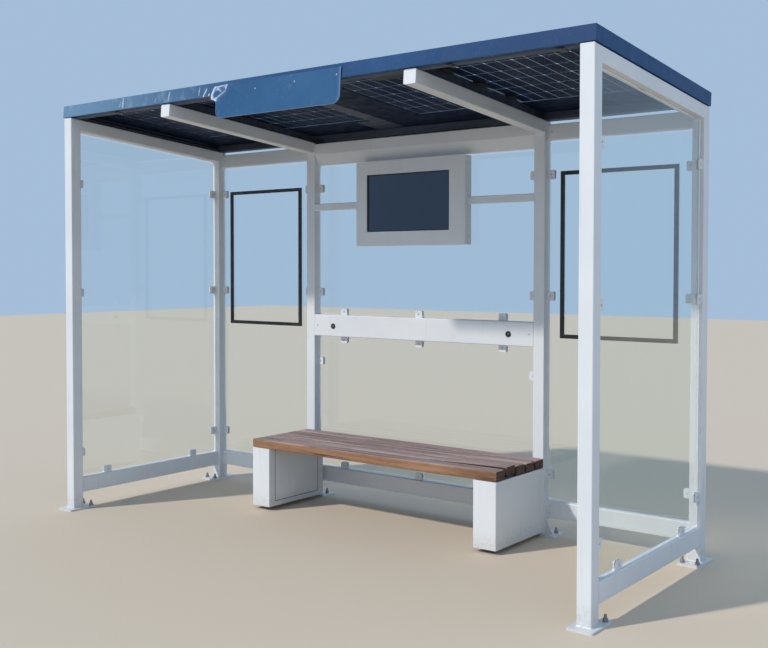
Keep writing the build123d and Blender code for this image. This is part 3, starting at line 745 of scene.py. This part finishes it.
# %% Cells and ribbons
cell_pitch_x, cell_pitch_y = 0.086, 0.1705
cell_gap, cell_cut, joint_gap, edge_strip = 0.003, 0.0075, 0.009, 0.012
sheet, foil = 0.0002, 0.0001
ribbons_per_row = 9
laminates = roof_parts("solar_modules")
laminate_under = min(low.z for low, high in laminates)
cell_level, ribbon_level = laminate_under - 0.0004, laminate_under - 0.0006
x, y = (cell_pitch_x - cell_gap) / 2, (cell_pitch_y - cell_gap) / 2
right_cut = [(-x, -y), (x - cell_cut, -y), (x, -y + cell_cut), (x, y - cell_cut), (x - cell_cut, y), (-x, y)]
left_cut = [(-x, y) for x, y in right_cut[::-1]]
cells, ribbons, borders = bmesh.new(), bmesh.new(), bmesh.new()
cell_count = 0
for low, high in laminates:
    centre, length, depth = (low + high) / 2, high.x - low.x, high.y - low.y
    columns = int((length - joint_gap - 2 * edge_strip) / cell_pitch_x)
    rows = int((depth - edge_strip) / cell_pitch_y)
    cell_count += columns * rows
    for column in range(columns):
        half = -1 if column < columns / 2 else 1
        x = centre.x + (column - columns / 2 + 0.5) * cell_pitch_x + half * joint_gap / 2
        for row in range(rows):
            y = centre.y + (row - rows / 2 + 0.5) * cell_pitch_y
            plate(cells, right_cut if column % 2 else left_cut, sheet, on_roof(x, y, cell_level))
    run = (length - joint_gap) / 2 - edge_strip
    for half in (-1, 1):
        x = centre.x + half * (joint_gap + run) / 2
        for line in range(rows * ribbons_per_row):
            y = centre.y + ((line + 0.5) / ribbons_per_row - rows / 2) * cell_pitch_y
            plate(ribbons, oblong(run, 0.0008), foil, on_roof(x, y, ribbon_level))
    plate(ribbons, oblong(0.006, rows * cell_pitch_y), foil, on_roof(centre.x, centre.y, ribbon_level))
    border = (length - joint_gap - columns * cell_pitch_x) / 2 - 0.001
    for x in (low.x + border / 2, high.x - border / 2):
        plate(borders, oblong(border, depth - 0.002), sheet, on_roof(x, centre.y, cell_level))
finished(cells, "solar_cells", silicon, smooth=False)
finished(ribbons, "cell_ribbons", ribbon, smooth=False)
finished(borders, "laminate_borders", dark_sheet, smooth=False)
print("half cells:", cell_count, "last border:", round(border * 1000, 1), "mm")

# %% [markdown]
# ## What hangs under the roof
# A flat strip covers the cables along the middle of the roof and widens at the back. A flat black box
# for the charging electronics is fixed behind the front bar, beside the right cantilever, and three
# black straps are folded round that bar. A second small box stands on the back beam where the cables
# go down into the left post.


# %% Cable cover, electronics box and straps
def lidded_box(shape, low, high, lid, place):
    """A moulded box with a slightly larger lid at its lower side."""
    (left, front, bottom), (right, back, top), lip = low, high, 0.0012
    centre = ((left + right) / 2, (front + back) / 2)
    layers = ((0.006, bottom + lid, top - bottom - lid), (0.0, bottom + lip, lid - lip), (0.012, bottom, lip))
    for inset, start, thickness in layers:
        outline = oblong(right - left - inset, back - front - inset, 0.006, centre=centre)
        plate(shape, outline, thickness, place @ Matrix.Translation((0, 0, start)))


bars = roof_parts("roof_bars")
bar_low, bar_high = min(bars, key=lambda box: box[1].y)
rear_y = max(low.y for low, high in bars)
left, right, wide = -0.215, -0.105, -0.343
start, widens, end = bar_high.y + 0.002, 0.43, rear_y - 0.002
strip = [(left, start), (right, start), (right, end), (wide, end), (wide, widens), (left, widens)]
cover = bmesh.new()
plate(cover, strip, 0.0015, on_roof(0, 0, bar_high.z - 0.0016))
finished(cover, "roof_cable_cover", aluminium_with_painted_shade, smooth=False)

downwards = Matrix.Rotation(math.pi, 4, "X")
box_under = 0.004
electronics = bmesh.new()
box_low, box_high = (0.64, bar_high.y + 0.001, box_under), (0.88, bar_high.y + 0.078, bar_high.z)
lidded_box(electronics, box_low, box_high, 0.014, roof)
for x in (0.655, 0.865):
    for y in (bar_high.y + 0.014, bar_high.y + 0.065):
        button_screw(electronics, on_roof(x, y, box_under) @ downwards, 0.0035, 0.002)
finished(electronics, "roof_electronics_box", black_plastic)

strap_width, strap = 0.04, 0.003
bar_depth, bar_rise = bar_high.y - bar_low.y, bar_high.z - bar_low.z
straps = bmesh.new()
for x in (-1.5, 1.22, 1.86):
    under = on_roof(x, (bar_low.y + bar_high.y) / 2, bar_low.z - strap - 0.0002)
    plate(straps, oblong(strap_width, bar_depth + 2 * strap), strap, under)
    for y in (bar_low.y - 0.0016, bar_high.y + 0.0016):
        plate(straps, oblong(strap_width, strap), bar_rise - 0.002, on_roof(x, y, bar_low.z))
    button_screw(straps, under @ downwards, 0.0055, 0.0024)
finished(straps, "purlin_straps", black_coat)

entry = bmesh.new()
entry_place = Matrix.Translation((posts["middle_left"][0] + 0.085, 0.692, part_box("header_beam")[1].z + 0.001))
lidded_box(entry, (-0.042, -0.026, 0), (0.042, 0.026, 0.028), 0.007, entry_place)
finished(entry, "cable_entry_box", black_plastic)
print("front bar:", round(bar_depth * 1000), "by", round(bar_rise * 1000), "mm")

# %% [markdown]
# ## The dented sign
# The sign is a shallow tray of 1.5 mm sheet. Something has struck its upper left corner: the sheet is
# folded along a slanting crease and crumpled beyond it. Pale lines along the folds and a paler corner are
# painted highlights, the curled edge is partly bare metal and partly painted highlight, and the deepest
# point of the dent is left dark as painted shade. The measured tray is flat, so the sign is made again
# here as a fine grid of points. The lower corners are rounded by sliding the grid onto an arc, and the
# dent moves the points out, in and aside. The grid is finer near the dent. How much painted highlight and
# wear each point has is stored with the mesh, and the finish reads it; the left, right and lower edges
# of the sheet are always a little paler.

# %% Shape of the dent
sign_low, sign_high = roof_parts("sign_plate")[0]
sign_width, sign_height = sign_high.x - sign_low.x, sign_high.z - sign_low.z
sign_radius = 0.05
face_y = sign_low.y + 0.007
deepest = sign_high.y - face_y - 0.0021


def fold(distance, width):
    """A sharp fold: 1 on its line, falling off on both sides."""
    return math.exp(-abs(distance) / width)


def dent(x, z):
    """How far a point of the sign is pushed out, how far it slides left and down, and its painted highlight and
    wear.
    """
    across, down = max(0.0, x - sign_low.x), sign_high.z - z
    reach = ((across / 0.107) ** 1.35 + (down / 0.099) ** 1.35) ** (1 / 1.35)
    inside = (1 - reach) * 0.1
    corner = smooth_step(inside, 0.0, 0.016)
    rim = smooth_step(inside, 0.052, 0.084)
    ripple = math.sin(110 * across - 75 * down) * corner * (1 - rim)
    push = 0.0066 * fold(inside, 0.011) - 0.0105 * corner * (1 - rim) - 0.002 * rim + 0.0016 * ripple
    second_fold = fold(down - 0.62 * across + 0.06, 0.022) * smooth_step(0.3 - across, 0, 0.15)
    push = max(push + 0.0022 * second_fold * (1 - corner), -deepest)
    bulge = 0.02 + 0.034 * math.sin(0.75 * math.pi * min(1.0, down / 0.098))
    left = bulge * smooth_step(0.085 - across, 0, 0.085) * (1 - smooth_step(down, 0.076, 0.102))
    low = 0.006 * smooth_step(0.095 - across, 0, 0.095) * smooth_step(0.075 - down, 0, 0.075)
    # The pale tones from here on are painted highlights; the pit is kept out of them and stays dark as painted
    # shade.
    pit = math.exp(-((across - 0.036) ** 2 + (down - 0.044) ** 2) / 0.017 ** 2)
    # The curled torn edge is partly bare metal and partly painted highlight.
    torn_edge = corner * (1 - smooth_step(min(across, 2.4 * down), 0.008, 0.022))
    torn_edge *= 1 - 0.3 * smooth_step(across, 0.05, 0.09)
    crease_highlight = smooth_step(down, -0.01, 0.035) * fold(inside - 0.004, 0.0115)
    slant_highlight = corner * fold(across - 0.017 - 0.9 * down, 0.0045)
    slant_highlight *= 1 - smooth_step(abs(down - 0.024), 0.01, 0.02)
    corner_highlight = (0.48 * corner + 0.2 * ripple) * (1 - pit)
    worn = max(0.9 * crease_highlight, 0.92 * torn_edge, 0.95 * slant_highlight, 0.36 * fold(inside, 0.035), corner_highlight)
    return push, left, low, min(1.0, worn)


def dented(x, z, lift=0.0):
    """Where a point of the flat sign is after the blow, and its painted highlight and wear there."""
    push, left, low, worn = dent(x, z)
    return roof @ Vector((x - left, face_y - push - lift, z - low)), worn


print("sign:", round(sign_width, 3), "by", round(sign_height, 3), "m")

# %% Grid of the sign
fine_columns, columns, rows = 70, 130, 76
fine_width = 0.19


def grid_point(column, row):
    """A point of the sign's outline grid, with the two lower corners rounded."""
    if column <= fine_columns:
        x = sign_low.x + fine_width * column / fine_columns
    else:
        coarse_share = (column - fine_columns) / (columns - fine_columns)
        x = sign_low.x + fine_width + (sign_width - fine_width) * coarse_share
    z = sign_low.z + sign_height * row / rows
    centre_z = sign_low.z + sign_radius
    for centre_x, side in ((sign_low.x + sign_radius, -1), (sign_high.x - sign_radius, 1)):
        reach_x, reach_z = (x - centre_x) * side, centre_z - z
        if reach_x > 0 and reach_z > 0:
            inwards = max(reach_x, reach_z) / math.hypot(reach_x, reach_z)
            return centre_x + side * reach_x * inwards, centre_z - reach_z * inwards
    return x, z


sign = bmesh.new()
highlight_and_wear_layer = sign.verts.layers.float.new("worn")
grid = []
for row in range(rows + 1):
    line = []
    for column in range(columns + 1):
        point, worn = dented(*grid_point(column, row))
        line.append(sign.verts.new(point))
        line[-1][highlight_and_wear_layer] = max(worn, 0.46 - 0.23 * min(column, columns - column, row))
    grid.append(line)
for lower, upper in zip(grid, grid[1:]):
    for column in range(columns):
        sign.faces.new((lower[column], lower[column + 1], upper[column + 1], upper[column]))
rim = grid[0] + [line[-1] for line in grid[1:]] + grid[-1][-2::-1] + [line[0] for line in grid[-2:0:-1]]
back_rim = []
for vertex in rim:
    local = roof.inverted() @ vertex.co
    back_rim.append(sign.verts.new(roof @ Vector((local.x, sign_high.y, local.z))))
    back_rim[-1][highlight_and_wear_layer] = vertex[highlight_and_wear_layer] * 0.5
skin(sign, [rim, back_rim])
print("sign grid:", (columns + 1) * (rows + 1), "points")

# %% [markdown]
# The coat of the sign is a blue close to the roof's, a little dusty. Where the mesh holds painted highlight
# and wear, the coat turns a pale blue, and where it holds most it is nearly white: glint and bare metal.

# %% Coat of the sign, and the finished sign
coat = Finish("sign_coat", IOR=1.45, Specular_IOR_Level=0.22)
look = coat.tint(coat.speckle(2.4, 2), ((0.024, 0.096, 0.225), (0.032, 0.115, 0.255)))
look = coat.blend(coat.fade(coat.speckle(34, 6), 0.58, 0.8, 0, 0.16), look, (0.3, 0.34, 0.4))
# Painted highlight and wear stored with the mesh: pale blue, nearly white where it is strongest.
highlight_and_wear_input = coat.node("Attribute")
highlight_and_wear_input.attribute_name = "worn"
look = coat.blend(coat.fade(highlight_and_wear_input.outputs["Fac"], 0.1, 0.95, 0, 0.95), look, (0.33, 0.43, 0.63))
glint_and_bare_metal = coat.times(highlight_and_wear_input.outputs["Fac"], coat.fade(coat.speckle(52, 5), 0.2, 0.52))
coat.colour(coat.blend(coat.fade(glint_and_bare_metal, 0.4, 0.75), look, (0.6, 0.68, 0.8)))
coat.gloss(coat.speckle(12, 5), 0.36, 0.5)
coat.raise_by(coat.speckle(480, 2), 0.0004, 0.25)

dented_sign = finished(sign, "dented_sign", coat.material)
thickness = dented_sign.modifiers.new("sheet_thickness", "SOLIDIFY")
thickness.thickness = 0.0015
thickness.offset = -1
bpy.context.view_layer.update()
thick = bpy.data.meshes.new_from_object(dented_sign.evaluated_get(bpy.context.evaluated_depsgraph_get()))
dented_sign.modifiers.clear()
dented_sign.data = thick
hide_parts("sign_plate")

bars_behind = bmesh.new()
for x in (-0.365, 0.395):
    bar_place = on_roof(x, sign_high.y, 0.0275) @ Matrix.Rotation(math.pi / 2, 4, "X")
    plate(bars_behind, oblong(0.04, 0.045, 0.003), 0.006, bar_place)
finished(bars_behind, "sign_bars", aluminium_with_painted_shade, smooth=False)

bolt_places = ((-0.42, 0.01), (-0.15, 0.0095), (0.168, 0.0165), (0.487, 0.0205))
outwards = roof.to_3x3() @ -along_y
screw_set("sign_bolts", [(dented(x, z, 0.0002)[0], outwards) for x, z in bolt_places], 0.006, 0.0032)
print("dented sign points:", len(thick.vertices))

# %% [markdown]
# ## Screen surround
# The screen sits behind a window in its white housing. A black rubber surround fills the step between
# them. It is wider at the left, where the panel is set off centre, and that gives the dark strip
# beside the picture.


# %% Rubber surround of the screen
def flat_frame(shape, place, size, widths, back, front, slope=0.0016):
    """A flat frame with its own width on each side; its front slopes to the inside. Depths look outwards."""
    left, right, bottom, top = widths
    outer = oblong(*size)
    centre = ((left - right) / 2, (bottom - top) / 2)
    inner = oblong(size[0] - left - right, size[1] - bottom - top, centre=centre)
    steps = ((outer, back), (outer, front), (inner, front - slope), (inner, back))
    rings = [[shape.verts.new(place @ Vector((x, y, depth))) for x, y in line] for line, depth in steps]
    skin(shape, rings, closed=True)


housing_low, housing_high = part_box("screen_housing")
screen_low, screen_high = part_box("screen")
lap, play = 0.012, 0.0003
widths = (0.018, 0.006, 0.006, 0.008)
size = [screen_high[axis] - screen_low[axis] - 2 * (lap + play) for axis in (0, 2)]
screen_face = middle("screen")
screen_face.y = screen_low.y
edge_rubber = bmesh.new()
rubber_front = screen_low.y - housing_low.y - 0.0008
flat_frame(edge_rubber, facing_place(screen_face, -along_y), size, widths, 0.0002, rubber_front)
finished(edge_rubber, "screen_surround", rubber, smooth=False)
housing_screws = [
    ((x, housing_low.y + 0.045, z), side * along_x)
    for x, side in ((housing_low.x, -1), (housing_high.x, 1))
    for z in (housing_low.z + 0.06, housing_high.z - 0.06)
]
screw_set("housing_screws", housing_screws, 0.005, 0.0024)
print("window:", [round(side, 3) for side in size], "m")

# %% [markdown]
# ## Power sockets
# Each round socket in the backrest has two charging ports, one above the other: a slot in a raised
# black face with a thin tongue in it.

# %% Charging ports
sockets = loose_parts("power_sockets")
ports, tongues = bmesh.new(), bmesh.new()
for low, high in sockets:
    face = (low + high) / 2
    face.y = low.y + 0.004
    place = facing_place(face, -along_y)
    turned(ports, [(0.0128, 0), (0.0128, 0.001), (0.012, 0.0014), (0, 0.0014)], place, 36)
    for offset in (-0.0045, 0.0045):
        port = place @ Matrix.Translation((0, offset, 0))
        flat_frame(ports, port, (0.0156, 0.0072), (0.0012, 0.0012, 0.001, 0.001), 0.0012, 0.0034)
        plate(tongues, oblong(0.011, 0.0016), 0.0008, port @ Matrix.Translation((0, 0.001, 0.0013)))
finished(ports, "charging_ports", black_plastic)
finished(tongues, "port_tongues", white_coat, smooth=False)
print("charging ports:", 2 * len(sockets))

# %% [markdown]
# ## Screws of the rails, the beams and the service cover
# The level tubes are screwed to lugs in the posts, so each end shows one screw, or two where the tube
# is heavy. The service cover in the bench box is held by four, and a thin black seal lies in the gap
# round it.

# %% Rail screws and cover screws
rail_heights = {"back_beams": (0.5,), "back_bottom_rails": (0.28, 0.72), "backrest_rail": (0.5,)}
rail_screws = [
    ((x, low.y, low.z + share * (high.z - low.z)), -along_y)
    for node_name, heights in rail_heights.items()
    for low, high in loose_parts(node_name)
    for x in (low.x + 0.032, high.x - 0.032)
    for share in heights
]
screw_set("rail_screws", rail_screws, 0.006, 0.0028)

cover_low, cover_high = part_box("bench_service_cover")
cover_face = middle("bench_service_cover")
cover_face.x = cover_high.x
door_inset, seal_width, seal_rise = 0.012, 0.004, 0.0006
size = [cover_high[axis] - cover_low[axis] - 2 * door_inset + seal_width for axis in (1, 2)]
seal = bmesh.new()
flat_frame(seal, facing_place(cover_face, along_x), size, [seal_width] * 4, -0.003, seal_rise, slope=0)
finished(seal, "service_cover_seal", rubber, smooth=False)
cover_screws = [
    ((cover_high.x, y, z), along_x)
    for y in (cover_low.y + 0.036, cover_high.y - 0.036)
    for z in (cover_low.z + 0.032, cover_high.z - 0.032)
]
screw_set("cover_screws", cover_screws, 0.005, 0.0024)
print("rail screws:", len(rail_screws), "cover screws:", len(cover_screws))
